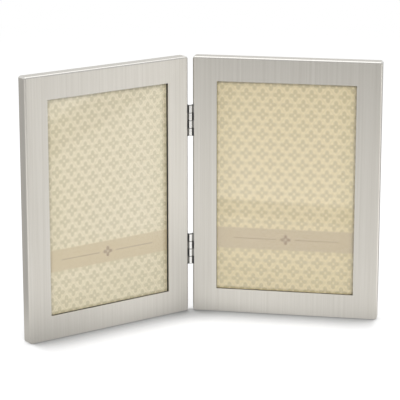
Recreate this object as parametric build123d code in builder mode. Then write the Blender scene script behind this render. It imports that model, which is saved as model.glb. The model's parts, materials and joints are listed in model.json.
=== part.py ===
from build123d import *

import math
import os

# Hinged double photo frame: two pressed metal frames for 4 x 6 inch photos, standing as an open V.
# Millimetres, +Z up, the fronts face -Y. X = 0 is the plane of the hinge pins, Z = 0 is the table.
#
# Both frames are drawn in the same way. "hand" is -1 for the left frame and +1 for the right one.
# "out" is the distance from the hinge pins along a frame's width, and "depth" is the distance
# behind the plane of its front face.

inch = 25.4

# The pair
open_angle = 134.0  # between the two fronts, as the pair stands
panel_gap = 3.1  # between the facing side walls, measured beside the hinge pins

# What each frame holds, from front to rear
photo_width = 4 * inch
photo_height = 6 * inch
glass_thick = 2.0
glass_gap = 0.5  # between the pane and the rebate
glass_arris = 0.2
card_gap = 0.05  # between the pane and the card
card_thick = 0.3
board_thick = 1.5
velvet_thick = 0.4
velvet_corner = 1.0
velvet_edge = 0.3  # bevel where the velvet turns over the board's rear edges
board_gap = 0.4  # between the covered board and the rebate

# Face shell
sheet_thick = 0.5
photo_cover = 3.8  # how far the face reaches over the photo, each side
rail_width = 11.7  # from the rebate to the outside of the frame
window_corner = 0.4
edge_radius = 1.3  # pressed rounding all round the front, outside
corner_extra = 0.3  # the outline's corners are this much rounder
bend_radius = 1.0  # outside, where the flanges are bent in behind the liner
flange_reach = 2.4  # from the outside of the frame to the edge of a flange
mitre_gap = 0.4  # between the flanges at the corners
rim_over_screws = 0.1  # how far the button screws lie inside the flanges

# Liner
liner_fit = 0.1  # between the liner and the shell, all round
lip_thick = 1.85  # front lip, which shows as a dark step inside the window
lip_inset = 0.2  # from the edge of the shell's window back to the lip's
rebate_clear = 1.0  # between the photo and the rebate, each side
rebate_corner = 0.5
rebate_lead_in = 0.5  # chamfer round the rear of the rebate

# Hinges
hinge_length = 21.0
hinge_inset = 33.5  # from the top or the bottom of a frame to the near end of its hinge
knuckle_count = 4
knuckle_gap = 0.2
leaf_thick = 0.6
leaf_width = 6.6
leaf_corner = 1.0
pin_radius = 0.65
pin_sink = 0.3  # how far each end of a pin lies inside the barrel
tight_fit = 0.02  # radial, round the pin in the leaf that holds it
running_fit = 0.05  # radial, round the pin in the leaf that turns on it

# The hinges' places in the frames
notch_in_face = 0.45  # how far a notch is cut into the face, past the side wall
notch_end_gap = 0.3  # from a hinge to the ends of its notch
leaf_fit = 0.1  # between a leaf and its pocket, and between it and the face
pad_thick = 0.9  # the liner's pads, from a leaf's rear to their own
pad_sink = 0.3  # front of the pads, behind the face
pad_fit = 0.1  # between a pad and its notch
pad_inner = 0.6  # how near the pads come to the plane of the pins
scoop_gap = 0.15  # between the barrel and the pads

# Countersunk screws of the leaves
leaf_screw_inset = 4.5  # from the ends of a leaf
leaf_screw_radius = 0.8
leaf_screw_head_radius = 1.5
leaf_screw_length = 4.5
screw_fit = 0.05  # round a screw in the piece that it clamps
pilot_fit = 0.02  # round a screw in the liner
pilot_depth = 0.4  # past the end of a screw

# Turn buttons and their screws
button_thick = 0.8
button_lift = 0.1  # over the velvet and the liner
button_root_radius = 3.4
button_tip_radius = 2.6
button_arm = 7.0
button_edge = 0.15
button_screw_radius = 1.0
button_screw_bite = 4.0  # length in the liner
button_head_radius = 2.2
button_head_height = 0.75
button_head_edge = 0.35
button_head_gap = 0.05

# Run of every cutter past what it cuts
overrun = 1.0

# Leg of a chamfer whose flat touches an arc, as a share of the arc's radius
bevel_share = 2 - math.sqrt(2)

# Depths, worked out from the stack
liner_margin = sheet_thick + liner_fit
glass_front = liner_margin + lip_thick
glass_rear = glass_front + glass_thick
card_front = glass_rear + card_gap
board_front = card_front + card_thick
board_rear = board_front + board_thick
stack_rear = board_rear + velvet_thick
button_front = stack_rear + button_lift
button_rear = button_front + button_thick
button_head_front = button_rear + button_head_gap
frame_depth = button_head_front + button_head_height + rim_over_screws
leaf_front = sheet_thick + leaf_fit
leaf_rear = leaf_front + leaf_thick
pad_rear = leaf_rear + pad_thick

# Widths and heights, worked out from the photo
rebate_width = photo_width + 2 * rebate_clear
rebate_height = photo_height + 2 * rebate_clear
frame_width = rebate_width + 2 * rail_width
frame_height = rebate_height + 2 * rail_width
window_width = photo_width - 2 * photo_cover
window_height = photo_height - 2 * photo_cover
opening_width = frame_width - 2 * flange_reach
opening_height = frame_height - 2 * flange_reach
cover_width = rebate_width - 2 * board_gap
cover_height = rebate_height - 2 * board_gap
corner_radius = edge_radius + corner_extra
liner_rear = frame_depth - liner_margin

# Distances out from the pins
tilt = math.radians((180 - open_angle) / 2)
hinge_side = panel_gap / 2
middle_out = hinge_side + frame_width / 2
knuckle_radius = pin_radius + running_fit + leaf_thick
setback = knuckle_radius - leaf_rear  # from the plane of the pins back to the face
notch_out = hinge_side + sheet_thick + notch_in_face
leaf_start = hinge_side + edge_radius + leaf_fit
leaf_end = leaf_start + leaf_width
scoop_radius = knuckle_radius + scoop_gap

# Heights of the hinges
knuckle_pitch = (hinge_length + knuckle_gap) / knuckle_count
knuckle_length = knuckle_pitch - knuckle_gap
notch_height = hinge_length + 2 * notch_end_gap
lower_hinge = hinge_inset + hinge_length / 2
hinge_heights = {"upper": frame_height - lower_hinge, "lower": lower_hinge}

# Knuckles are counted from the top of each hinge. The left leaf holds the pin.
hands = {"left": -1, "right": 1}
own_knuckles = {-1: range(1, knuckle_count, 2), 1: range(0, knuckle_count, 2)}
pin_fits = {-1: tight_fit, 1: running_fit}

# The pins stand where the outline box of the pair is centred on the origin.
round_out = hinge_side + frame_width - edge_radius
front_reach = round_out * math.sin(tilt) - (setback + edge_radius) * math.cos(tilt) + edge_radius
rear_reach = (setback + frame_depth) * math.cos(tilt) - hinge_side * math.sin(tilt)
pin_y = (front_reach - rear_reach) / 2

# How objects are placed on a plane: standing on it, or hanging behind it
FORWARD = (Align.CENTER, Align.CENTER, Align.MIN)
REARWARD = (Align.CENTER, Align.CENTER, Align.MAX)


def face_plane(hand, depth):
    """Plane parallel to a frame's face: x across the frame, y up and z out of the front."""
    across = (math.cos(tilt), -hand * math.sin(tilt), 0)
    forward = (-hand * math.sin(tilt), -math.cos(tilt), 0)
    pins = Plane(origin=(0, pin_y, 0), x_dir=across, z_dir=forward)
    return pins.offset(-setback - depth)


def cross_plane(hand, height):
    """Level plane on the pins: x runs out, y to the rear, and z up or, on the left, down."""
    out = (hand * math.cos(tilt), -math.sin(tilt), 0)
    return Plane(origin=(0, pin_y, height), x_dir=out, z_dir=(0, 0, hand))


def forward_axis(hand):
    plane = face_plane(hand, 0)
    return Axis(plane.origin, plane.z_dir)


def middle(hand):
    """Middle of a frame, on its face planes."""
    return (hand * middle_out, frame_height / 2)


def button_places(hand):
    """The pivot of each turn button, in the middle of a rail, with its y towards the rebate."""
    x, y = middle(hand)
    inset = (flange_reach + rail_width) / 2
    half_width = frame_width / 2 - inset
    half_height = frame_height / 2 - inset
    return {
        "top": Location((x, y + half_height), 180),
        "bottom": Location((x, y - half_height), 0),
        "hinge_side": Location((x - hand * half_width, y), -hand * 90),
        "outer": Location((x + hand * half_width, y), hand * 90),
    }


def leaf_screw_places(hand, height):
    x = hand * (leaf_start + leaf_width / 2)
    rise = hinge_length / 2 - leaf_screw_inset
    return [(x, height - rise), (x, height + rise)]


def knuckle_bottom(height, index):
    """Lower end of a knuckle, in the hinge whose middle is at this height."""
    return height + hinge_length / 2 - index * knuckle_pitch - knuckle_length


def bevel(edges, radius):
    """Chamfer whose flat touches the arc that a fillet of this radius would have."""
    chamfer(edges, length=bevel_share * radius)


def frame_block(hand, inset, ease):
    """Solid of a frame's outside, made smaller by inset all round, its front and rear edges eased."""
    with BuildPart() as block:
        with BuildSketch(face_plane(hand, frame_depth - inset)):
            with Locations(middle(hand)):
                RectangleRounded(
                    frame_width - 2 * inset,
                    frame_height - 2 * inset,
                    corner_radius - inset,
                )
        extrude(amount=frame_depth - 2 * inset)
        front = block.faces().sort_by(forward_axis(hand))[-1]
        ease(front.edges(), edge_radius - inset)
        rear = block.faces().sort_by(forward_axis(hand))[0]
        ease(rear.edges(), bend_radius - inset)
    return block.part


def rear_opening(hand):
    """Outline inside the flanges, where the liner's shelf lies open."""
    with Locations(middle(hand)):
        Rectangle(opening_width, opening_height)


def mitre_gaps(hand):
    """Gaps between the flanges, from the corners of the rear opening to the bends."""
    x, y = middle(hand)
    run = math.sqrt(2) * (flange_reach - bend_radius)
    for side in (-1, 1):
        for end in (-1, 1):
            corner = (x + side * opening_width / 2, y + end * opening_height / 2)
            with Locations(Location(corner, -side * end * 45)):
                Rectangle(mitre_gap, 2 * run)


def face_shell(hand):
    """Pressed shell: a rounded block hollowed to the sheet, then opened, mitred and notched."""
    outside = frame_block(hand, 0, fillet)
    inside = frame_block(hand, sheet_thick, bevel)
    with BuildPart() as shell:
        add(outside)
        add(inside, mode=Mode.SUBTRACT)

        # Window
        with BuildSketch(face_plane(hand, sheet_thick + overrun)):
            with Locations(middle(hand)):
                RectangleRounded(window_width, window_height, window_corner)
        extrude(amount=sheet_thick + 2 * overrun, mode=Mode.SUBTRACT)

        # Rear opening
        with BuildSketch(face_plane(hand, frame_depth + overrun)):
            rear_opening(hand)
            mitre_gaps(hand)
        extrude(amount=sheet_thick + 2 * overrun, mode=Mode.SUBTRACT)

        # Hinge notches, through the side wall and into the face
        notch_width = notch_out - hinge_side + overrun
        with BuildSketch(face_plane(hand, pad_rear + pad_fit)):
            for height in hinge_heights.values():
                with Locations((hand * (notch_out - notch_width / 2), height)):
                    Rectangle(notch_width, notch_height)
        extrude(amount=pad_rear + pad_fit + overrun, mode=Mode.SUBTRACT)
    return shell.part


def liner(hand):
    """Black moulded ring that fills the shell and makes the rebate, with all that the hinges need."""
    filling = frame_block(hand, liner_margin, bevel)
    with BuildPart() as ring:
        add(filling)

        # Shelf of the turn buttons, rebate with its lead-in, and window through the front lip
        with BuildSketch(face_plane(hand, liner_rear + overrun)):
            rear_opening(hand)
        extrude(amount=liner_rear + overrun - stack_rear, mode=Mode.SUBTRACT)
        with BuildSketch(face_plane(hand, liner_rear)):
            with Locations(middle(hand)):
                RectangleRounded(rebate_width, rebate_height, rebate_corner)
        extrude(amount=liner_rear - glass_front, mode=Mode.SUBTRACT)
        levels = ring.faces().filter_by(forward_axis(hand)).sort_by(forward_axis(hand))
        chamfer(levels[1].inner_wires()[0].edges(), length=rebate_lead_in)
        with BuildSketch(face_plane(hand, glass_front + overrun)):
            with Locations(middle(hand)):
                RectangleRounded(
                    window_width + 2 * lip_inset,
                    window_height + 2 * lip_inset,
                    window_corner,
                )
        extrude(amount=glass_front + overrun, mode=Mode.SUBTRACT)

        for height in hinge_heights.values():
            # Pad that fills the shell's notch and is scooped out round the barrel
            pad_height = notch_height - 2 * pad_fit
            with BuildSketch(cross_plane(hand, height - pad_height / 2)):
                with BuildLine():
                    Polyline(
                        (pad_inner, setback + pad_rear),
                        (pad_inner, setback + pad_sink),
                        (notch_out - pad_fit, setback + pad_sink),
                        (notch_out - pad_fit, setback + leaf_rear),
                        (leaf_end, setback + leaf_rear),
                        (leaf_end, setback + pad_rear),
                        close=True,
                    )
                make_face()
                Circle(scoop_radius, mode=Mode.SUBTRACT)
            extrude(amount=hand * pad_height)

            # Pocket for the leaf, and for its tongues through the pad
            with BuildSketch(face_plane(hand, leaf_rear)):
                with Locations((hand * (leaf_start + leaf_end) / 2, height)):
                    Rectangle(leaf_width + 2 * leaf_fit, hinge_length + 2 * leaf_fit)
                for index in own_knuckles[hand]:
                    tongue_height = knuckle_bottom(height, index) + knuckle_length / 2
                    with Locations((hand * leaf_start / 2, tongue_height)):
                        Rectangle(leaf_start, knuckle_length + 2 * leaf_fit)
            extrude(amount=leaf_rear, mode=Mode.SUBTRACT)

            # Pilot holes of the leaf's screws
            pilot_rear = leaf_front + leaf_screw_length + pilot_depth
            with BuildSketch(face_plane(hand, pilot_rear)):
                with Locations(*leaf_screw_places(hand, height)):
                    Circle(leaf_screw_radius + pilot_fit)
            extrude(amount=pilot_rear, mode=Mode.SUBTRACT)

        # Pilot holes of the button screws
        with BuildSketch(face_plane(hand, stack_rear + overrun)):
            with Locations(*button_places(hand).values()):
                Circle(button_screw_radius + pilot_fit)
        extrude(amount=overrun + button_screw_bite + pilot_depth, mode=Mode.SUBTRACT)
    return ring.part


def hinge_leaf(hand, height):
    """Sheet leaf whose tongues are rolled round the pin, with two countersunk holes."""
    with BuildPart(face_plane(hand, leaf_front)) as leaf:
        with BuildSketch(face_plane(hand, leaf_rear)):
            with Locations((hand * (leaf_start + leaf_end) / 2, height)):
                Rectangle(leaf_width, hinge_length)
        extrude(amount=leaf_thick)
        across = Axis((0, 0, 0), cross_plane(hand, 0).x_dir)
        far_corners = leaf.edges().filter_by(forward_axis(hand)).group_by(across)[-1]
        fillet(far_corners, radius=leaf_corner)
        for index in own_knuckles[hand]:
            with BuildSketch(cross_plane(hand, knuckle_bottom(height, index))):
                Circle(knuckle_radius)
                with Locations((0, knuckle_radius - leaf_thick)):
                    Rectangle(leaf_start + leaf_corner, leaf_thick, align=(Align.MIN, Align.MIN))
                Circle(pin_radius + pin_fits[hand], mode=Mode.SUBTRACT)
            extrude(amount=hand * knuckle_length)
        sink_radius = leaf_screw_head_radius + screw_fit
        hole_radius = leaf_screw_radius + screw_fit
        sink_angle = 2 * math.degrees(math.atan((sink_radius - hole_radius) / leaf_thick))
        with Locations(*leaf_screw_places(hand, height)):
            CounterSinkHole(hole_radius, sink_radius, counter_sink_angle=sink_angle)
    return leaf.part


def leaf_screws(hand):
    """Four countersunk screws, two through each leaf into the liner."""
    with BuildPart(face_plane(hand, leaf_front)) as screws:
        for height in hinge_heights.values():
            with Locations(*leaf_screw_places(hand, height)):
                Cylinder(leaf_screw_radius, leaf_screw_length, align=REARWARD)
                Cone(leaf_screw_radius, leaf_screw_head_radius, leaf_thick, align=REARWARD)
    return screws.part


def hinge_pin(height):
    """Pin of one hinge, a little short of the barrel at each end."""
    with BuildPart(Plane(origin=(0, pin_y, height))) as pin:
        Cylinder(pin_radius, hinge_length - 2 * pin_sink)
    return pin.part


def glass(hand):
    """Pane with ground arrises, which lies against the liner's front lip."""
    with BuildPart() as pane:
        with BuildSketch(face_plane(hand, glass_rear)):
            with Locations(middle(hand)):
                Rectangle(rebate_width - 2 * glass_gap, rebate_height - 2 * glass_gap)
        extrude(amount=glass_thick)
        chamfer(pane.edges(), length=glass_arris)
    return pane.part


def insert_card(hand):
    """Printed card of the photo's size, behind the pane."""
    with BuildPart() as card:
        with BuildSketch(face_plane(hand, board_front)):
            with Locations(middle(hand)):
                Rectangle(photo_width, photo_height)
        extrude(amount=card_thick)
    return card.part


def board_outline(hand, depth):
    """The bare board's outline, on the plane at this depth."""
    with BuildSketch(face_plane(hand, depth)) as outline:
        with Locations(middle(hand)):
            RectangleRounded(
                cover_width - 2 * velvet_thick,
                cover_height - 2 * velvet_thick,
                velvet_corner - velvet_thick,
            )
    return outline.sketch


def backing_board(hand):
    """Hardboard panel that presses the card and the pane forward."""
    with BuildPart() as board:
        extrude(board_outline(hand, board_rear), amount=board_thick)
    return board.part


def velvet_cover(hand):
    """Velvet over the board's rear and edges, as a thin tray."""
    with BuildPart() as cover:
        with BuildSketch(face_plane(hand, stack_rear)):
            with Locations(middle(hand)):
                RectangleRounded(cover_width, cover_height, velvet_corner)
        extrude(amount=velvet_thick + board_thick)
        rear = cover.faces().sort_by(forward_axis(hand))[0]
        chamfer(rear.edges(), length=velvet_edge)
        extrude(board_outline(hand, board_rear), amount=board_thick, mode=Mode.SUBTRACT)
    return cover.part


def turn_button(hand, place):
    """Stamped steel button: a round root on the screw and a narrower tip over the board."""
    with BuildPart() as button:
        with BuildSketch(face_plane(hand, button_rear)):
            with Locations(place):
                Circle(button_root_radius)
                with Locations((0, button_arm)):
                    Circle(button_tip_radius)
            make_hull()
            with Locations(place):
                Circle(button_screw_radius + screw_fit, mode=Mode.SUBTRACT)
        extrude(amount=button_thick)
        rear = button.faces().sort_by(forward_axis(hand))[0]
        chamfer(rear.outer_wire().edges(), length=button_edge)
    return button.part


def button_screws(hand):
    """Four pan-head screws, through the turn buttons into the liner."""
    shank_length = button_head_front - stack_rear + button_screw_bite
    with BuildPart(face_plane(hand, button_head_front)) as screws:
        with Locations(*button_places(hand).values()):
            Cylinder(button_screw_radius, shank_length, align=FORWARD)
            Cylinder(button_head_radius, button_head_height, align=REARWARD)
        heads = screws.edges().filter_by(GeomType.CIRCLE).group_by(forward_axis(hand))[0]
        chamfer(heads, length=button_head_edge)
    return screws.part


def save(part, name):
    part.label = name
    export_step(part, f"parts/{name}.step")


os.makedirs("parts", exist_ok=True)
for side, hand in hands.items():
    save(face_shell(hand), f"{side}_face_shell")
    save(liner(hand), f"{side}_liner")
    save(glass(hand), f"{side}_glass")
    save(insert_card(hand), f"{side}_insert_card")
    save(backing_board(hand), f"{side}_backing_board")
    save(velvet_cover(hand), f"{side}_velvet_cover")
    for name, place in button_places(hand).items():
        save(turn_button(hand, place), f"{side}_{name}_button")
    save(button_screws(hand), f"{side}_button_screws")
    for name, height in hinge_heights.items():
        save(hinge_leaf(hand, height), f"{side}_{name}_hinge_leaf")
    save(leaf_screws(hand), f"{side}_leaf_screws")
for name, height in hinge_heights.items():
    save(hinge_pin(height), f"{name}_hinge_pin")
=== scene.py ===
import json
import math

import bmesh
import bpy
from mathutils import Matrix, Vector


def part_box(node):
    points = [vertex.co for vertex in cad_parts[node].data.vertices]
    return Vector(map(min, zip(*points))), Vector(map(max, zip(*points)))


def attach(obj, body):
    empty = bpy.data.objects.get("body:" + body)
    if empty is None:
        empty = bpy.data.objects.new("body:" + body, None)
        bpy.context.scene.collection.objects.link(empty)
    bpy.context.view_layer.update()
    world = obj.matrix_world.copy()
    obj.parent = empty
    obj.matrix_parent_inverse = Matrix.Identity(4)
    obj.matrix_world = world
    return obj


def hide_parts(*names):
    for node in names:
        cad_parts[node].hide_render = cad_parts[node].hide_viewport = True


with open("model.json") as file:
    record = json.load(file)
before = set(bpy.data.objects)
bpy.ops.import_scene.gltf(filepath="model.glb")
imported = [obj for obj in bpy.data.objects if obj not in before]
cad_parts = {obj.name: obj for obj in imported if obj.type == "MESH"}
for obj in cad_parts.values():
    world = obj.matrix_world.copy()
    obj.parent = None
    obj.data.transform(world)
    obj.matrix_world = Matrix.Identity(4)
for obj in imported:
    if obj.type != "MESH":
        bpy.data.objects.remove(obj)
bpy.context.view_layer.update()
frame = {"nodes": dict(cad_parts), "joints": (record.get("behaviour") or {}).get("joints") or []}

# A hinged double photo frame. Metres, +Z up, fronts towards -Y.
# Each frame is worked on in its own panel space: x across it to the right as seen from the front,
# y from the plane of the hinge pins to the rear, and z up.

MM = 0.001
WHITE = (1, 1, 1, 1)
SIDES = {"left": -1, "right": 1}
HINGES = ("upper", "lower")
BUTTONS = ("top", "bottom", "hinge_side", "outer")
JOINTS = {joint["name"]: joint for joint in frame["joints"]}
PIN = Vector(JOINTS["fold"]["pos_m"]) * Vector((1, 1, 0))
REAR = {side: Vector(JOINTS[f"{side}_top_button_swivel"]["axis"]) for side in SIDES}
TILT = math.atan2(abs(REAR["right"].x), REAR["right"].y)


def panel_matrix(side):
    """From panel space to the object's own space."""
    return Matrix.Translation(PIN) @ Matrix.Rotation(-SIDES[side] * TILT, 4, "Z")


def panel_box(node_name, side):
    """Lowest and highest corner of a CAD node in panel space."""
    to_panel = panel_matrix(side).inverted()
    corners = [to_panel @ v.co for v in frame["nodes"][node_name].data.vertices]
    low = Vector([min(c[i] for c in corners) for i in range(3)])
    high = Vector([max(c[i] for c in corners) for i in range(3)])
    return low, high


# Shader nodes


def node(tree, kind, inputs=(), **settings):
    """New node. Its sockets are set by name or number, to a value or to another node's output."""
    made = tree.nodes.new(kind)
    for name, value in settings.items():
        setattr(made, name, value)
    for name, value in dict(inputs).items():
        if isinstance(value, bpy.types.NodeSocket):
            tree.links.new(value, made.inputs[name])
        else:
            made.inputs[name].default_value = value
    return made


def calc(tree, operation, *values, clamp=False):
    """Result of a Math node."""
    inputs = {i: value for i, value in enumerate(values)}
    return node(tree, "ShaderNodeMath", inputs, operation=operation, use_clamp=clamp).outputs[0]


def mix_value(tree, share, first, second):
    """Number between two others by a share from 0 to 1."""
    return node(tree, "ShaderNodeMix", {"Factor": share, "A": first, "B": second}).outputs[0]


def mix_colour(tree, share, first, second):
    """Colour between two others by a share from 0 to 1."""
    made = node(tree, "ShaderNodeMix", {"Factor": share}, data_type="RGBA")
    for name, value in (("A", first), ("B", second)):
        socket = [s for s in made.inputs if s.name == name and s.type == "RGBA"][0]
        if isinstance(value, bpy.types.NodeSocket):
            tree.links.new(value, socket)
        else:
            socket.default_value = (*value, 1)
    return [s for s in made.outputs if s.type == "RGBA"][0]


def mix_shader(tree, share, first, second):
    return node(tree, "ShaderNodeMixShader", {0: share, 1: first, 2: second}).outputs[0]


def emission(tree, colour, strength):
    return node(tree, "ShaderNodeEmission", {"Color": colour, "Strength": strength}).outputs[0]


def diffuse(tree, colour):
    return node(tree, "ShaderNodeBsdfDiffuse", {"Color": colour}).outputs[0]


def remap(tree, value, low, high, to_low, to_high, smooth=False):
    """Value taken from one range to another, clamped."""
    kind = "SMOOTHSTEP" if smooth else "LINEAR"
    inputs = {"Value": value, 1: low, 2: high, 3: to_low, 4: to_high}
    return node(tree, "ShaderNodeMapRange", inputs, interpolation_type=kind).outputs[0]


def between(tree, value, low, high, soft):
    """1 where the value lies between two others, with soft ends."""
    rise = remap(tree, value, low - soft, low + soft, 0, 1, smooth=True)
    fall = remap(tree, value, high - soft, high + soft, 1, 0, smooth=True)
    return calc(tree, "MULTIPLY", rise, fall)


def parts_of(tree, vector):
    """The x, y and z of a vector."""
    return node(tree, "ShaderNodeSeparateXYZ", {0: vector}).outputs


def vector_of(tree, x=0.0, y=0.0, z=0.0):
    return node(tree, "ShaderNodeCombineXYZ", {0: x, 1: y, 2: z}).outputs[0]


def length_of(tree, vector):
    return node(tree, "ShaderNodeVectorMath", {0: vector}, operation="LENGTH").outputs["Value"]


def scaled(tree, vector, factors):
    return node(tree, "ShaderNodeVectorMath", {0: vector, 1: factors}, operation="MULTIPLY").outputs[0]


def object_place(tree):
    return node(tree, "ShaderNodeTexCoord").outputs["Object"]


def panel_place(tree, side, scale):
    """Place in panel space, from Object coordinates, in units of 1 / scale metres."""
    turn = SIDES[side] * TILT
    home = Matrix.Rotation(turn, 3, "Z") @ (PIN * scale)
    inputs = {
        "Vector": object_place(tree),
        "Location": -home,
        "Rotation": (0, 0, turn),
        "Scale": (scale, scale, scale),
    }
    return node(tree, "ShaderNodeMapping", inputs).outputs[0]


def seen_in_mirror(tree):
    """1 for what the eye gets off metal or through glass, 0 for what lights the card and the cloth."""
    path = node(tree, "ShaderNodeLightPath").outputs
    mirrored = calc(tree, "MAXIMUM", path["Is Glossy Ray"], path["Is Transmission Ray"])
    return calc(tree, "MULTIPLY", mirrored, calc(tree, "LESS_THAN", path["Diffuse Depth"], 0.5))


# Camera

CAMERA_PLACE = Vector((-0.2831, -1.2567, 0.4187))
CAMERA_YAW = 0.2230
CAMERA_PITCH = 0.2544
CAMERA_CLIP = (0.05, 50)
FOCAL_PIXELS = 1986
PHOTO_PIXELS = 400
SENSOR = 36.0


def make_camera():
    data = bpy.data.cameras.new("camera")
    data.sensor_width = SENSOR
    data.lens = FOCAL_PIXELS / PHOTO_PIXELS * SENSOR
    data.clip_start, data.clip_end = CAMERA_CLIP
    camera = bpy.data.objects.new("camera", data)
    bpy.context.scene.collection.objects.link(camera)
    level = math.cos(CAMERA_PITCH)
    ahead = Vector(
        (math.sin(CAMERA_YAW) * level, math.cos(CAMERA_YAW) * level, -math.sin(CAMERA_PITCH))
    )
    camera.location = CAMERA_PLACE
    camera.rotation_euler = ahead.to_track_quat("-Z", "Y").to_euler()
    bpy.context.scene.camera = camera


# Room and lamps

WORLD_FILL = 0.36  # what diffuse surfaces get from all round
REAR_TONE = 1.0  # what metal and glass mirror behind the frames
FRONT_TONE = 0.75  # and in front of them
FRONT_TO_REAR = (-0.6, 0.4)
ABOVE_TONE = 1.75  # a large soft box above
SIDE_TO_ABOVE = (0.70, 0.85)

# Place, what the lamp is aimed at, width, height and radiance
LAMPS = {
    "overhead": ((0.0, 0.0, 1.3), (0, 0, 0.05), 0.7, 0.55, 3.6),
    "front": ((-0.25, -2.5, 0.95), (0, 0, 0.09), 1.6, 1.2, 4.6),
    "rear": ((0.2, 2.0, 1.0), (0, 0, 0.09), 2.0, 1.5, 1.0),
}


def make_world():
    """White to the eye, a plain fill for diffuse surfaces, and a soft room in reflections."""
    world = bpy.data.worlds.new("studio")
    world.use_nodes = True
    world.cycles.sampling_method = "NONE"  # so that each kind of ray gets its own tone
    bpy.context.scene.world = world
    tree = world.node_tree
    to_eye = node(tree, "ShaderNodeLightPath").outputs["Is Camera Ray"]
    direction = node(tree, "ShaderNodeTexCoord").outputs["Generated"]
    _, depth, height = parts_of(tree, direction)
    walls = remap(tree, depth, *FRONT_TO_REAR, FRONT_TONE, REAR_TONE, smooth=True)
    above = remap(tree, height, *SIDE_TO_ABOVE, 0, 1, smooth=True)
    room = mix_value(tree, above, walls, ABOVE_TONE)
    fill = mix_value(tree, seen_in_mirror(tree), WORLD_FILL, room)
    background = tree.nodes["Background"]
    background.inputs["Color"].default_value = (1, 1, 1, 1)
    tree.links.new(mix_value(tree, to_eye, fill, 1.0), background.inputs["Strength"])


def make_lamp(name, place, target, width, height, radiance):
    """Rectangular soft box that lights the object. Metal mirrors the room and the floor in its stead."""
    data = bpy.data.lights.new(name, "AREA")
    data.shape = "RECTANGLE"
    data.size = width
    data.size_y = height
    data.energy = radiance * math.pi * width * height
    lamp = bpy.data.objects.new(name, data)
    lamp.visible_camera = False
    lamp.visible_glossy = False
    lamp.location = place
    aim = Vector(target) - Vector(place)
    lamp.rotation_euler = aim.to_track_quat("-Z", "Y").to_euler()
    bpy.context.scene.collection.objects.link(lamp)


# Floor

FLOOR_SIZE = 30.0
FLOOR_COLOUR = (0.86, 0.865, 0.87)
BOUNCE_COLOUR = (0.70, 0.70, 0.70, 1)  # as the object's lit surfaces get it
FLOOR_GLOW = 0.50  # lifts the open floor to white for the eye
NEAR_TO_FAR = (0.4, 1.2)  # between these distances it becomes plain white

# The dark along the frames' feet
CONTACT_REACH = 31 * MM
CONTACT_SAMPLES = 24
CONTACT_OPENNESS = (0.40, 0.98)
CONTACT_DARK = 0.77
CONTACT_COLOUR = (1.0, 0.985, 0.955)
REAR_CONTACT = 0.12  # share of the dark that is left behind the frames
REAR_FADE = 6 * MM
END_CONTACT = 0.25  # and past their outer ends
END_FADE = (-3 * MM, 1 * MM)

# What metal and glass mirror of the floor. The white sheet under the frames has a slanting edge
# in front, with a dimmer strip along it, and beyond the strip a bright floor fades away.
SHEET_TONE = 1.24
SHEET_EDGE = -0.225
SHEET_SLANT = 0.28
EDGE_FADE = 0.01
FOOT_TONE = 0.59
FOOT_REACH = 0.11
GAP_TONE = 0.85
GAP_WIDTH = 0.05
GAP_FADE = 0.02
BEYOND_TONE = 1.75
FAR_TONE = 0.50
FAR = -0.90
BEHIND_TONE = 0.64
FRONT_TO_BEHIND = (-0.02, 0.03)
# Each frame mirrors the floor along its own line. Across that line the floor gets brighter
# from what the outer rail mirrors to what the inner rail mirrors.
ACROSS = {
    "left": {"line": (0.516, 0.857), "places": (-0.088, 0.018), "gains": (0.84, 1.31)},
    "right": {"line": (0.841, -0.540), "places": (0.12, 0.0), "gains": (1.18, 1.41)},
}


def foot_distance(tree):
    """Distance on the floor from the nearer frame's foot."""
    distances = []
    for side, hand in SIDES.items():
        low, high = panel_box(f"{side}_face_shell", side)
        out, depth, _ = parts_of(tree, panel_place(tree, side, 1))
        end = max(-low.x, high.x)
        past_end = calc(tree, "SUBTRACT", calc(tree, "MULTIPLY", out, hand), end)
        past_end = calc(tree, "MAXIMUM", past_end, 0.0)
        past_face = calc(tree, "SUBTRACT", depth, low.y)
        distances.append(length_of(tree, vector_of(tree, past_end, past_face)))
    return calc(tree, "MINIMUM", *distances)


def floor_tone(tree):
    """What metal and glass mirror of the floor."""
    x, y, _ = parts_of(tree, object_place(tree))
    sheet = remap(tree, foot_distance(tree), 0.0, FOOT_REACH, FOOT_TONE, SHEET_TONE)
    ahead = calc(tree, "MULTIPLY_ADD", x, SHEET_SLANT, y)
    gap_end = SHEET_EDGE - GAP_WIDTH
    in_gap = remap(tree, ahead, gap_end - GAP_FADE, gap_end, 1, 0, smooth=True)
    beyond = remap(tree, ahead, FAR, SHEET_EDGE, FAR_TONE, BEYOND_TONE)
    off_sheet = mix_value(tree, in_gap, GAP_TONE, beyond)
    on_sheet = remap(tree, ahead, SHEET_EDGE - EDGE_FADE, SHEET_EDGE, 0, 1, smooth=True)
    front = mix_value(tree, on_sheet, off_sheet, sheet)
    for given in ACROSS.values():
        x_share, y_share = given["line"]
        across = calc(tree, "MULTIPLY_ADD", x, x_share, calc(tree, "MULTIPLY", y, y_share))
        gain = remap(tree, across, *given["places"], *given["gains"], smooth=True)
        front = calc(tree, "MULTIPLY", front, gain)
    behind = remap(tree, y, *FRONT_TO_BEHIND, 0, 1, smooth=True)
    return mix_value(tree, behind, front, BEHIND_TONE)


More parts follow.
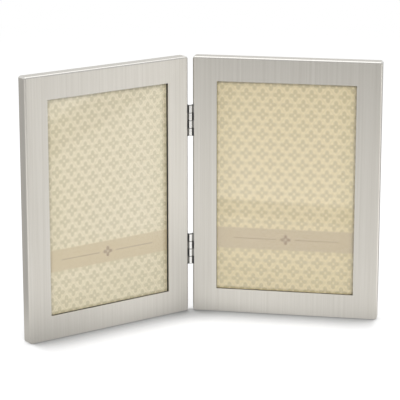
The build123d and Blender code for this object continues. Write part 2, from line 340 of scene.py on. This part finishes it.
def contact_mask(tree):
    """1 on the floor in front of the frames, and less behind them and past their outer ends."""
    depths, reaches = [], []
    for side, hand in SIDES.items():
        out, depth, _ = parts_of(tree, panel_place(tree, side, 1))
        depths.append(depth)
        reaches.append(calc(tree, "MULTIPLY", out, hand))
    end = panel_box("right_face_shell", "right")[1].x
    ends = [end + fade for fade in END_FADE]
    in_front = remap(tree, calc(tree, "MAXIMUM", *depths), 0.0, REAR_FADE, 1.0, REAR_CONTACT, smooth=True)
    within = remap(tree, calc(tree, "MAXIMUM", *reaches), *ends, 1.0, END_CONTACT, smooth=True)
    return calc(tree, "MULTIPLY", in_front, within)


def floor_for_eye(tree):
    """White with a soft contact shadow, and plain white far away."""
    inputs = {"Color": WHITE, "Distance": CONTACT_REACH}
    around = node(tree, "ShaderNodeAmbientOcclusion", inputs, samples=CONTACT_SAMPLES)
    closed = remap(tree, around.outputs["AO"], *CONTACT_OPENNESS, CONTACT_DARK, 0.0)
    contact = calc(tree, "SUBTRACT", 1.0, calc(tree, "MULTIPLY", closed, contact_mask(tree)))
    shade = mix_colour(tree, contact, CONTACT_COLOUR, WHITE[:3])
    inputs = {0: shade, "Scale": contact}
    toned = node(tree, "ShaderNodeVectorMath", inputs, operation="SCALE").outputs[0]
    lit = diffuse(tree, scaled(tree, toned, FLOOR_COLOUR))
    inputs = {0: lit, 1: emission(tree, toned, FLOOR_GLOW)}
    near = node(tree, "ShaderNodeAddShader", inputs).outputs[0]
    far = remap(tree, length_of(tree, object_place(tree)), *NEAR_TO_FAR, 0, 1, smooth=True)
    return mix_shader(tree, far, near, emission(tree, WHITE, 1.0))


def make_floor():
    mesh = bpy.data.meshes.new("floor")
    half = FLOOR_SIZE / 2
    corners = [(-half, -half, 0), (half, -half, 0), (half, half, 0), (-half, half, 0)]
    mesh.from_pydata(corners, [], [(0, 1, 2, 3)])
    floor = bpy.data.objects.new("floor", mesh)
    bpy.context.scene.collection.objects.link(floor)
    material = bpy.data.materials.new("white_floor")
    material.use_nodes = True
    material.cycles.emission_sampling = "NONE"  # so that each kind of ray gets its own tone
    tree = material.node_tree
    tree.nodes.clear()
    to_eye = node(tree, "ShaderNodeLightPath").outputs["Is Camera Ray"]
    plain = mix_shader(tree, to_eye, diffuse(tree, BOUNCE_COLOUR), floor_for_eye(tree))
    in_mirror = emission(tree, WHITE, floor_tone(tree))
    surface = mix_shader(tree, seen_in_mirror(tree), plain, in_mirror)
    node(tree, "ShaderNodeOutputMaterial", {"Surface": surface})
    mesh.materials.append(material)


# Materials

NOISE_SPAN = (0.3, 0.7)  # where nearly all of a noise lies

METAL_DARK = (0.480, 0.456, 0.409)
METAL_LIGHT = (0.590, 0.568, 0.524)
METAL_ROUGHNESS = (0.32, 0.39)
FINE_GRAIN = (6.0, 1, 0.05)  # across and along the brushing, per millimetre
BROAD_GRAIN = (0.55, 1, 0.005)
FINE_SHARE = 0.35
SIDE_WALL = 0.71  # how far a surface faces sideways, from which it belongs to a side wall
UPPER_BEND = (0.30, 0.93)  # how far a surface faces up along the upper bends
BEND_FADE = 0.07
# Painted highlight: the upper bends are painted a lighter colour, for the light that falls on them from
# above
BEND_HIGHLIGHT_COLOUR = (0.68, 0.67, 0.64)
BEND_HIGHLIGHT_SHARE = 0.8
BEND_ROUGHNESS = 0.20

PLATE_DARK = (0.60, 0.59, 0.57)
PLATE_LIGHT = (0.82, 0.81, 0.79)
PLATE_ROUGHNESS = (0.16, 0.30)
# Painted shade: past the barrel the leaves lie down in the notches, and are painted nearly black there
NOTCH_SHADE_COLOUR = (0.17, 0.165, 0.155)
NOTCH_SHADE_RADIUS = (1.32 * MM, 1.5 * MM)  # from the middle of the pin
DUST_COLOUR = (0.12, 0.115, 0.105)
DUST_REACH = (0.10 * MM, 0.34 * MM)  # from a joint between knuckles
DUST_SHARE = 0.85
KNUCKLES = 4  # on each hinge


def new_material(name, **uniform):
    """Material with one Principled shader. Uniform values are set on its own sockets."""
    material = bpy.data.materials.new(name)
    material.use_nodes = True
    tree = material.node_tree
    shader = tree.nodes["Principled BSDF"]
    for key, value in uniform.items():
        shader.inputs[key.replace("_", " ")].default_value = value
    return material, tree, shader


def noise(tree, vector, scale, detail=2.0, roughness=0.5):
    inputs = {"Vector": vector, "Scale": scale, "Detail": detail, "Roughness": roughness}
    return node(tree, "ShaderNodeTexNoise", inputs).outputs["Fac"]


def spread(tree, pattern, low, high):
    """A noise stretched to run from one value to another."""
    return remap(tree, pattern, *NOISE_SPAN, low, high)


def bump(tree, shader, height, distance, strength):
    inputs = {"Height": height, "Distance": distance, "Strength": strength}
    made = node(tree, "ShaderNodeBump", inputs)
    tree.links.new(made.outputs[0], shader.inputs["Normal"])


def brushed_metal(side):
    """Satin sheet, brushed upright: the grain runs up each wall and front to back over the ends.

    Over the upper bends the grain runs along the bend, so they are sharper; their colour is also painted
    lighter, a painted highlight of the light from above."""
    material, tree, shader = new_material(f"brushed_metal_{side}", Metallic=1.0)
    across = Matrix.Rotation(-SIDES[side] * TILT, 3, "Z") @ Vector((1, 0, 0))
    normal = node(tree, "ShaderNodeTexCoord").outputs["Normal"]
    facing = node(tree, "ShaderNodeVectorMath", {0: normal, 1: across}, operation="DOT_PRODUCT")
    facing = calc(tree, "ABSOLUTE", facing.outputs["Value"])
    sideways = calc(tree, "GREATER_THAN", facing, SIDE_WALL)
    x, y, z = parts_of(tree, panel_place(tree, side, 1 / MM))
    grain = vector_of(tree, mix_value(tree, sideways, x, y), sideways, z)
    fine = noise(tree, scaled(tree, grain, FINE_GRAIN), scale=1.0, detail=3.0, roughness=0.65)
    broad = noise(tree, scaled(tree, grain, BROAD_GRAIN), scale=1.0, detail=3.0, roughness=0.7)
    streaks = mix_value(tree, FINE_SHARE, broad, fine)
    sheet = mix_colour(tree, spread(tree, streaks, 0, 1), METAL_DARK, METAL_LIGHT)
    bend = between(tree, parts_of(tree, normal)[2], *UPPER_BEND, soft=BEND_FADE)
    # painted highlight: a lighter colour on the upper bends
    colour = mix_colour(tree, calc(tree, "MULTIPLY", bend, BEND_HIGHLIGHT_SHARE), sheet, BEND_HIGHLIGHT_COLOUR)
    tree.links.new(colour, shader.inputs["Base Color"])
    satin = spread(tree, streaks, *METAL_ROUGHNESS)
    tree.links.new(mix_value(tree, bend, satin, BEND_ROUGHNESS), shader.inputs["Roughness"])
    bump(tree, shader, fine, distance=0.003 * MM, strength=0.5)
    return material


def nickel(hinge):
    """Bright plate with faint draw marks and dust in its joints. Where a leaf leaves the barrel it is
    painted nearly black: painted shade down in the notch.
    """
    material, tree, shader = new_material(f"nickel_plate_{hinge}", Metallic=1.0)
    boxes = [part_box(f"{side}_{hinge}_hinge_leaf") for side in SIDES]
    foot = min(low[2] for low, high in boxes)
    knuckle = (max(high[2] for low, high in boxes) - foot) / KNUCKLES
    place = object_place(tree)
    marks = noise(tree, scaled(tree, place, (1, 1, 0.25)), scale=1800.0, detail=3.0, roughness=0.6)
    plate = mix_colour(tree, marks, PLATE_DARK, PLATE_LIGHT)
    from_pin = node(tree, "ShaderNodeVectorMath", {0: place, 1: PIN}, operation="SUBTRACT").outputs[0]
    radius = length_of(tree, scaled(tree, from_pin, (1, 1, 0)))
    # painted shade on the leaves past the barrel
    notch_shade = remap(tree, radius, *NOTCH_SHADE_RADIUS, 0, 1, smooth=True)
    height = calc(tree, "SUBTRACT", parts_of(tree, place)[2], foot)
    count = calc(tree, "DIVIDE", height, knuckle)
    off = calc(tree, "ABSOLUTE", calc(tree, "SUBTRACT", count, calc(tree, "ROUND", count)))
    reach = [distance / knuckle for distance in DUST_REACH]
    dusty = mix_colour(tree, remap(tree, off, *reach, DUST_SHARE, 0, smooth=True), plate, DUST_COLOUR)
    colour = mix_colour(tree, notch_shade, dusty, NOTCH_SHADE_COLOUR)
    tree.links.new(colour, shader.inputs["Base Color"])
    tree.links.new(spread(tree, marks, *PLATE_ROUGHNESS), shader.inputs["Roughness"])
    bump(tree, shader, marks, distance=0.006 * MM, strength=0.5)
    return material


def black_plastic():
    material, tree, shader = new_material("black_plastic")
    place = object_place(tree)
    grain = noise(tree, place, scale=2600.0, detail=3.0, roughness=0.6)
    cloud = noise(tree, place, scale=60.0)
    colour = mix_colour(tree, cloud, (0.012, 0.012, 0.013), (0.024, 0.024, 0.025))
    tree.links.new(colour, shader.inputs["Base Color"])
    tree.links.new(spread(tree, grain, 0.42, 0.62), shader.inputs["Roughness"])
    bump(tree, shader, grain, distance=0.02 * MM, strength=0.5)
    return material


def pane_glass():
    """Clear pane that lets the lamps through to the card."""
    material, tree, shader = new_material(
        "pane_glass", Transmission_Weight=1.0, IOR=1.5, Roughness=0.01
    )
    cloud = noise(tree, object_place(tree), scale=25.0)
    colour = mix_colour(tree, cloud, (0.975, 0.985, 0.975), (0.99, 0.995, 0.99))
    tree.links.new(colour, shader.inputs["Base Color"])
    clear = node(tree, "ShaderNodeBsdfTransparent", {"Color": (0.96, 0.965, 0.96, 1)}).outputs[0]
    shadow = node(tree, "ShaderNodeLightPath").outputs["Is Shadow Ray"]
    surface = mix_shader(tree, shadow, shader.outputs[0], clear)
    tree.links.new(surface, tree.nodes["Material Output"].inputs["Surface"])
    return material


def hardboard():
    material, tree, shader = new_material("hardboard", Roughness=0.8)
    fibre = noise(tree, object_place(tree), scale=700.0, detail=5.0, roughness=0.7)
    colour = mix_colour(tree, fibre, (0.16, 0.09, 0.05), (0.36, 0.23, 0.13))
    tree.links.new(colour, shader.inputs["Base Color"])
    bump(tree, shader, fibre, distance=0.05 * MM, strength=0.5)
    return material


def velvet():
    """Short black pile: soft cloudy nap, fine tufts and a pale sheen at grazing angles."""
    material, tree, shader = new_material(
        "black_velvet",
        Roughness=0.95,
        Specular_IOR_Level=0.2,
        Sheen_Weight=0.55,
        Sheen_Roughness=0.4,
    )
    place = object_place(tree)
    nap = noise(tree, place, scale=35.0, detail=3.0, roughness=0.55)
    tuft = noise(tree, place, scale=2400.0, detail=2.0, roughness=0.6)
    cloud = mix_colour(tree, spread(tree, nap, 0, 1), (0.010, 0.010, 0.011), (0.028, 0.028, 0.030))
    tips = remap(tree, tuft, 0.45, 0.75, 0, 0.6)
    colour = mix_colour(tree, tips, cloud, (0.055, 0.055, 0.058))
    tree.links.new(colour, shader.inputs["Base Color"])
    bump(tree, shader, tuft, distance=0.12 * MM, strength=0.7)
    return material


def tumbled_steel():
    """Small stampings and screws: grey, a little cloudy, with fine pits."""
    material, tree, shader = new_material("tumbled_steel", Metallic=1.0)
    place = object_place(tree)
    cloud = noise(tree, place, scale=420.0, detail=3.0, roughness=0.55)
    pits = noise(tree, place, scale=3800.0, detail=2.0, roughness=0.6)
    colour = mix_colour(tree, cloud, (0.44, 0.44, 0.43), (0.66, 0.65, 0.63))
    tree.links.new(colour, shader.inputs["Base Color"])
    tree.links.new(spread(tree, cloud, 0.24, 0.40), shader.inputs["Roughness"])
    bump(tree, shader, pits, distance=0.01 * MM, strength=0.5)
    return material


# The printed card. Its lengths are in millimetres.

CARD_WIDTH = 101.6
CARD_HEIGHT = 152.4
WINDOW_HEIGHT = 144.8
BAND_RISE = 28.4  # from the window's lower edge
BAND_HEIGHT = 14.7
TRELLIS_WIDTH = 11.0
TRELLIS_HEIGHT = 13.6
LINE_HALF_WIDTH = 0.035  # share of the trellis, as its fade
LINE_FADE = 0.01
LINE_SHARE = 0.5  # how much of the motif's colour a line has
PETAL_DEPTH = 0.62  # share of a flower's radius
EYE_RADIUS = (0.10, 0.26)  # shares of it
MOTIF_RADIUS = 4.3
BAND_FLOWER_RADIUS = 3.6
RULE_REACH = (6.5, 36.0)  # from the card's middle
RULE_HALF_HEIGHT = 0.22
INK = (0.22, 0.12, 0.075)
INK_SHARE = 0.62
# Painted shade: the print is painted darker and warmer towards the card's sides and its lower part
EDGE_FROM = 0.55  # share of the card's half width and of its lower half
EDGE_SHADE_TINT = (0.94, 0.935, 0.885)
SPECKLE_COLOUR = (0.9, 0.87, 0.72)
SPECKLE_SPAN = (0.35, 0.65)
SPECKLE_SHARE = 0.10
# Both cards carry the same print. The right card's colours are painted darker than the left's: painted
# shade.
PRINT_AND_SHADE_COLOURS = {
    "left": {
        "ground": (0.762, 0.670, 0.500),
        "motif": (0.567, 0.493, 0.323),
        "band": (0.590, 0.480, 0.305),
    },
    "right": {
        "ground": (0.690, 0.577, 0.368),
        "motif": (0.505, 0.418, 0.252),
        "band": (0.500, 0.398, 0.257),
    },
}


def rosette(tree, x, z, radius, soft):
    """Four-petalled flower round a point, with a small open eye."""
    squares = [calc(tree, "POWER", part, 2.0) for part in (x, z)]
    distance = calc(tree, "SQRT", calc(tree, "ADD", *squares))
    angle = calc(tree, "ARCTAN2", z, x)
    wave = calc(tree, "ABSOLUTE", calc(tree, "COSINE", calc(tree, "MULTIPLY", angle, 2.0)))
    edge = calc(tree, "MULTIPLY_ADD", wave, radius * PETAL_DEPTH, radius * (1 - PETAL_DEPTH))
    petals = remap(tree, calc(tree, "SUBTRACT", distance, edge), -soft, soft, 1, 0, smooth=True)
    eye = remap(tree, distance, *[radius * share for share in EYE_RADIUS], 0, 1, smooth=True)
    return calc(tree, "MULTIPLY", petals, eye)


def trellis(tree, x, z):
    """Trellis of crossing lines with a flower in each of its diamonds."""
    u = calc(tree, "DIVIDE", x, TRELLIS_WIDTH)
    v = calc(tree, "DIVIDE", z, TRELLIS_HEIGHT)
    rising, falling = [
        calc(tree, "SUBTRACT", calc(tree, "FRACT", calc(tree, operation, u, v)), 0.5)
        for operation in ("ADD", "SUBTRACT")
    ]
    near_x = calc(tree, "MULTIPLY", calc(tree, "ADD", rising, falling), TRELLIS_WIDTH / 2)
    near_z = calc(tree, "MULTIPLY", calc(tree, "SUBTRACT", rising, falling), TRELLIS_HEIGHT / 2)
    flower = rosette(tree, near_x, near_z, MOTIF_RADIUS, soft=0.15)
    wide = calc(tree, "MAXIMUM", calc(tree, "ABSOLUTE", rising), calc(tree, "ABSOLUTE", falling))
    start = 0.5 - LINE_HALF_WIDTH
    line = remap(tree, wide, start - LINE_FADE, start, 0, LINE_SHARE, smooth=True)
    return calc(tree, "MAXIMUM", flower, line)


def band_mark(tree, x, rise):
    """A small flower in the middle of the band, between two thin rules."""
    flower = rosette(tree, x, rise, BAND_FLOWER_RADIUS, soft=0.2)
    along = between(tree, calc(tree, "ABSOLUTE", x), *RULE_REACH, soft=0.3)
    rule = between(tree, rise, -RULE_HALF_HEIGHT, RULE_HALF_HEIGHT, soft=0.12)
    return calc(tree, "MAXIMUM", flower, calc(tree, "MULTIPLY", along, rule))


def printed_card(side):
    """Paper with a pale print and a plain tan band, which carries a rule and a small flower."""
    material, tree, shader = new_material(f"printed_card_{side}", Roughness=0.75)
    # each side's print colours; the right side's are darkened as painted shade
    colours = PRINT_AND_SHADE_COLOURS[side]
    low, high = panel_box(f"{side}_insert_card", side)
    x, _, z = parts_of(tree, panel_place(tree, side, 1 / MM))
    x = calc(tree, "SUBTRACT", x, (low.x + high.x) / 2 / MM)
    z = calc(tree, "SUBTRACT", z, low.z / MM + (CARD_HEIGHT - WINDOW_HEIGHT) / 2)
    fibre = noise(tree, object_place(tree), scale=900.0, detail=4.0, roughness=0.6)
    motif = calc(tree, "MULTIPLY", trellis(tree, x, z), spread(tree, fibre, 0.7, 1.0))
    pattern = mix_colour(tree, motif, colours["ground"], colours["motif"])
    off_x = calc(tree, "DIVIDE", calc(tree, "ABSOLUTE", x), CARD_WIDTH / 2)
    below = calc(tree, "SUBTRACT", 1.0, calc(tree, "DIVIDE", z, CARD_HEIGHT / 2))
    # painted shade towards the card's sides and bottom
    edge = remap(tree, calc(tree, "MAXIMUM", off_x, below), EDGE_FROM, 1.0, 0, 1, smooth=True)
    edge_shaded = scaled(tree, pattern, mix_colour(tree, edge, WHITE[:3], EDGE_SHADE_TINT))
    band = between(tree, z, BAND_RISE, BAND_RISE + BAND_HEIGHT, soft=0.12)
    with_band = mix_colour(tree, band, edge_shaded, colours["band"])
    rise = calc(tree, "SUBTRACT", z, BAND_RISE + BAND_HEIGHT / 2)
    mark = calc(tree, "MULTIPLY", band_mark(tree, x, rise), INK_SHARE)
    inked = mix_colour(tree, mark, with_band, INK)
    speckle = remap(tree, fibre, *SPECKLE_SPAN, 0, SPECKLE_SHARE)
    colour = mix_colour(tree, speckle, inked, SPECKLE_COLOUR)
    tree.links.new(colour, shader.inputs["Base Color"])
    bump(tree, shader, fibre, distance=0.03 * MM, strength=0.4)
    return material


# Velvet covers

VELVET_THICK = 0.4 * MM
VELVET_CORNER = 1.0 * MM
LEAST_CORNER = 0.15 * MM
CLOTH_SHARE = 0.9  # of the velvet's thickness, for the cloth that stands for it
TURN_RADIUS = 0.55 * MM
TURN_STEPS = 6
CORNER_STEPS = 8
SWELL = 0.03 * MM
SWELL_REACH = 6.0 * MM
SWELL_INSETS = (2.0 * MM, 4.0 * MM, 8.0 * MM, 16.0 * MM, 28.0 * MM, 40.0 * MM)


def link_piece(name, mesh, material, body):
    piece = bpy.data.objects.new(name, mesh)
    bpy.context.scene.collection.objects.link(piece)
    mesh.materials.clear()
    mesh.materials.append(material)
    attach(piece, body)
    return piece


def rounded_outline(low, high, corner):
    """Points round a rectangle with rounded corners, in x and z, anticlockwise from the front."""
    points = []
    for turn, (x, z) in enumerate(((high.x, high.z), (low.x, high.z), (low.x, low.z), (high.x, low.z))):
        centre_x = x - corner * (1 if x == high.x else -1)
        centre_z = z - corner * (1 if z == high.z else -1)
        for step in range(CORNER_STEPS + 1):
            angle = math.pi / 2 * (turn + step / CORNER_STEPS)
            points.append((centre_x + corner * math.cos(angle), centre_z + corner * math.sin(angle)))
    return points


def velvet_rings(front, rear):
    """Inset and depth of each ring of the cloth, from its front edge over the bend to the middle."""
    rings = [(0.0, front)]
    for step in range(TURN_STEPS + 1):
        angle = math.pi / 2 * step / TURN_STEPS
        inset = TURN_RADIUS * (1 - math.cos(angle))
        rings.append((inset, rear - TURN_RADIUS + TURN_RADIUS * math.sin(angle)))
    for inset in SWELL_INSETS:
        rings.append((inset, rear - SWELL * (1 - math.cos(inset / SWELL_REACH))))
    return rings


def velvet_cover(side, material):
    """Cloth drawn over the board's rear and round its edges, softly rounded, with its own thickness."""
    name = f"{side}_velvet"
    low, high = panel_box(f"{side}_velvet_cover", side)
    bm = bmesh.new()
    loops = []
    for inset, depth in velvet_rings(low.y, high.y):
        shrink = Vector((inset, 0, inset))
        corner = max(VELVET_CORNER - inset, LEAST_CORNER)
        outline = rounded_outline(low + shrink, high - shrink, corner)
        loops.append([bm.verts.new((x, depth, z)) for x, z in outline])
    for outer, inner in zip(loops, loops[1:]):
        count = len(outer)
        for i in range(count):
            j = (i + 1) % count
            bm.faces.new((outer[i], outer[j], inner[j], inner[i]))
    bm.faces.new(loops[-1])
    bmesh.ops.recalc_face_normals(bm, faces=bm.faces)
    if sum(face.normal.y * face.calc_area() for face in bm.faces) < 0:
        bmesh.ops.reverse_faces(bm, faces=bm.faces)
    for face in bm.faces:
        face.smooth = True
    bm.transform(panel_matrix(side))
    mesh = bpy.data.meshes.new(name)
    bm.to_mesh(mesh)
    bm.free()
    piece = link_piece(name, mesh, material, f"{side}_frame")
    thickness = piece.modifiers.new("cloth", "SOLIDIFY")
    thickness.thickness = VELVET_THICK * CLOTH_SHARE
    thickness.offset = -1
    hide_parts(f"{side}_velvet_cover")


# Screws of the turn buttons

SCREW_SIZES = {
    "Head Radius": 2.2 * MM,
    "Head Height": 0.75 * MM,
    "Shank Radius": 1.0 * MM,
    "Shank Length": 4.95 * MM,
    "Recess Width": 0.62 * MM,
    "Recess Length": 2.3 * MM,
    "Recess Depth": 0.5 * MM,
}
SCREW_TURNS = {"left": (0.35, 1.1, 0.7, 0.1), "right": (0.9, 0.2, 1.3, 0.55)}
HEAD_FACES = {"Vertices": 40, "Side Segments": 10, "Fill Segments": 2}
SHANK_FACES = {"Vertices": 24}
DOME_POWER = 3.0
DOME_SHARE = 0.55


def cylinder(tree, radius, depth, faces):
    inputs = {**faces, "Radius": radius, "Depth": depth}
    return node(tree, "GeometryNodeMeshCylinder", inputs, fill_type="NGON").outputs["Mesh"]


def raised(tree, geometry, height):
    """Geometry moved up its own axis."""
    inputs = {"Geometry": geometry, "Translation": vector_of(tree, z=height)}
    return node(tree, "GeometryNodeTransform", inputs).outputs[0]


def screw_head(tree, given):
    """A short cylinder whose rings close in towards the top, with a crossed recess cut from the top."""
    block = cylinder(tree, given["Head Radius"], given["Head Height"], HEAD_FACES)
    place = node(tree, "GeometryNodeInputPosition").outputs[0]
    rise = calc(tree, "DIVIDE", parts_of(tree, place)[2], given["Head Height"])
    rise = calc(tree, "ADD", rise, 0.5, clamp=True)
    closing = calc(tree, "MULTIPLY", calc(tree, "POWER", rise, DOME_POWER), DOME_SHARE)
    narrow = calc(tree, "POWER", calc(tree, "SUBTRACT", 1.0, closing), 0.5)
    closer = scaled(tree, place, vector_of(tree, narrow, narrow, 1.0))
    inputs = {"Geometry": block, "Position": closer}
    domed = node(tree, "GeometryNodeSetPosition", inputs).outputs[0]
    head = raised(tree, domed, calc(tree, "MULTIPLY", given["Head Height"], 0.5))
    cut = node(tree, "GeometryNodeMeshBoolean", {0: head}, operation="DIFFERENCE")
    depth = calc(tree, "MULTIPLY", given["Recess Depth"], 2.0)
    for width, length in (("Recess Width", "Recess Length"), ("Recess Length", "Recess Width")):
        size = vector_of(tree, given[width], given[length], depth)
        bar = node(tree, "GeometryNodeMeshCube", {"Size": size}).outputs["Mesh"]
        tree.links.new(raised(tree, bar, given["Head Height"]), cut.inputs[1])
    return cut.outputs[0]


def screw_tree():
    """Pan-head screws with crossed recesses, one on each point, turned by the point's own angle."""
    tree = bpy.data.node_groups.new("pan_head_screws", "GeometryNodeTree")
    kinds = {"Points": "Geometry", **dict.fromkeys(SCREW_SIZES, "Float")}
    kinds.update({"Axis": "Vector", "Finish": "Material"})
    for name, kind in kinds.items():
        tree.interface.new_socket(name, in_out="INPUT", socket_type=f"NodeSocket{kind}")
    tree.interface.new_socket("Geometry", in_out="OUTPUT", socket_type="NodeSocketGeometry")
    given = node(tree, "NodeGroupInput").outputs

    shank = cylinder(tree, given["Shank Radius"], given["Shank Length"], SHANK_FACES)
    shank = raised(tree, shank, calc(tree, "MULTIPLY", given["Shank Length"], -0.5))
    screw = node(tree, "GeometryNodeJoinGeometry")
    for part in (shank, screw_head(tree, given)):
        tree.links.new(part, screw.inputs[0])

    turn = node(tree, "GeometryNodeInputNamedAttribute", {"Name": "turn"}, data_type="FLOAT").outputs[0]
    aimed = node(tree, "FunctionNodeAlignRotationToVector", {"Vector": given["Axis"]}, axis="Z")
    spin = node(tree, "FunctionNodeAxisAngleToRotation", {"Axis": (0, 0, 1), "Angle": turn})
    inputs = {0: aimed.outputs[0], 1: spin.outputs[0]}
    turned = node(tree, "FunctionNodeRotateRotation", inputs, rotation_space="LOCAL").outputs[0]
    inputs = {"Points": given["Points"], "Instance": screw.outputs[0], "Rotation": turned}
    placed = node(tree, "GeometryNodeInstanceOnPoints", inputs).outputs[0]
    real = node(tree, "GeometryNodeRealizeInstances", {0: placed}).outputs[0]
    inputs = {"Geometry": real, "Material": given["Finish"]}
    finished = node(tree, "GeometryNodeSetMaterial", inputs).outputs[0]
    node(tree, "NodeGroupOutput", {0: finished})
    return tree


def button_screws(side, tree, material):
    """Screws of one frame's turn buttons, as one plain mesh."""
    name = f"{side}_pan_screws"
    to_frame = panel_matrix(side)
    to_panel = to_frame.inverted()
    seat = panel_box(f"{side}_button_screws", side)[1].y - SCREW_SIZES["Head Height"]
    places = []
    for button in BUTTONS:
        pivot = to_panel @ Vector(JOINTS[f"{side}_{button}_button_swivel"]["pos_m"])
        places.append(to_frame @ Vector((pivot.x, seat, pivot.z)))
    points = bpy.data.meshes.new(name + "_points")
    points.from_pydata(places, [], [])
    turns = points.attributes.new("turn", "FLOAT", "POINT")
    turns.data.foreach_set("value", SCREW_TURNS[side])
    carrier = bpy.data.objects.new(name + "_points", points)
    bpy.context.scene.collection.objects.link(carrier)
    modifier = carrier.modifiers.new("screws", "NODES")
    modifier.node_group = tree
    values = {**SCREW_SIZES, "Axis": tuple(REAR[side]), "Finish": material}
    for item in tree.interface.items_tree:
        if item.in_out == "INPUT" and item.name in values:
            modifier[item.identifier] = values[item.name]
    bpy.context.view_layer.update()
    evaluated = carrier.evaluated_get(bpy.context.evaluated_depsgraph_get())
    mesh = bpy.data.meshes.new_from_object(evaluated)
    bpy.data.objects.remove(carrier)
    for polygon in mesh.polygons:
        polygon.use_smooth = False
    piece = link_piece(name, mesh, material, f"{side}_frame")
    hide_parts(f"{side}_button_screws")


# The whole part


def wear(node_name, material):
    """Gives a CAD node its finish."""
    slots = frame["nodes"][node_name].data.materials
    slots.clear()
    slots.append(material)


make_camera()
make_world()
make_floor()
for name, given in LAMPS.items():
    make_lamp(name, *given)
bpy.context.scene.view_settings.view_transform = "Standard"

plates = {hinge: nickel(hinge) for hinge in HINGES}
plastic = black_plastic()
glass = pane_glass()
board = hardboard()
cloth = velvet()
steel = tumbled_steel()
screws = screw_tree()

for side in SIDES:
    wear(f"{side}_face_shell", brushed_metal(side))
    wear(f"{side}_liner", plastic)
    wear(f"{side}_glass", glass)
    wear(f"{side}_insert_card", printed_card(side))
    wear(f"{side}_backing_board", board)
    wear(f"{side}_leaf_screws", steel)
    for button in BUTTONS:
        wear(f"{side}_{button}_button", steel)
    for hinge, plate in plates.items():
        wear(f"{side}_{hinge}_hinge_leaf", plate)
    velvet_cover(side, cloth)
    button_screws(side, screws, steel)
for hinge, plate in plates.items():
    wear(f"{hinge}_hinge_pin", plate)
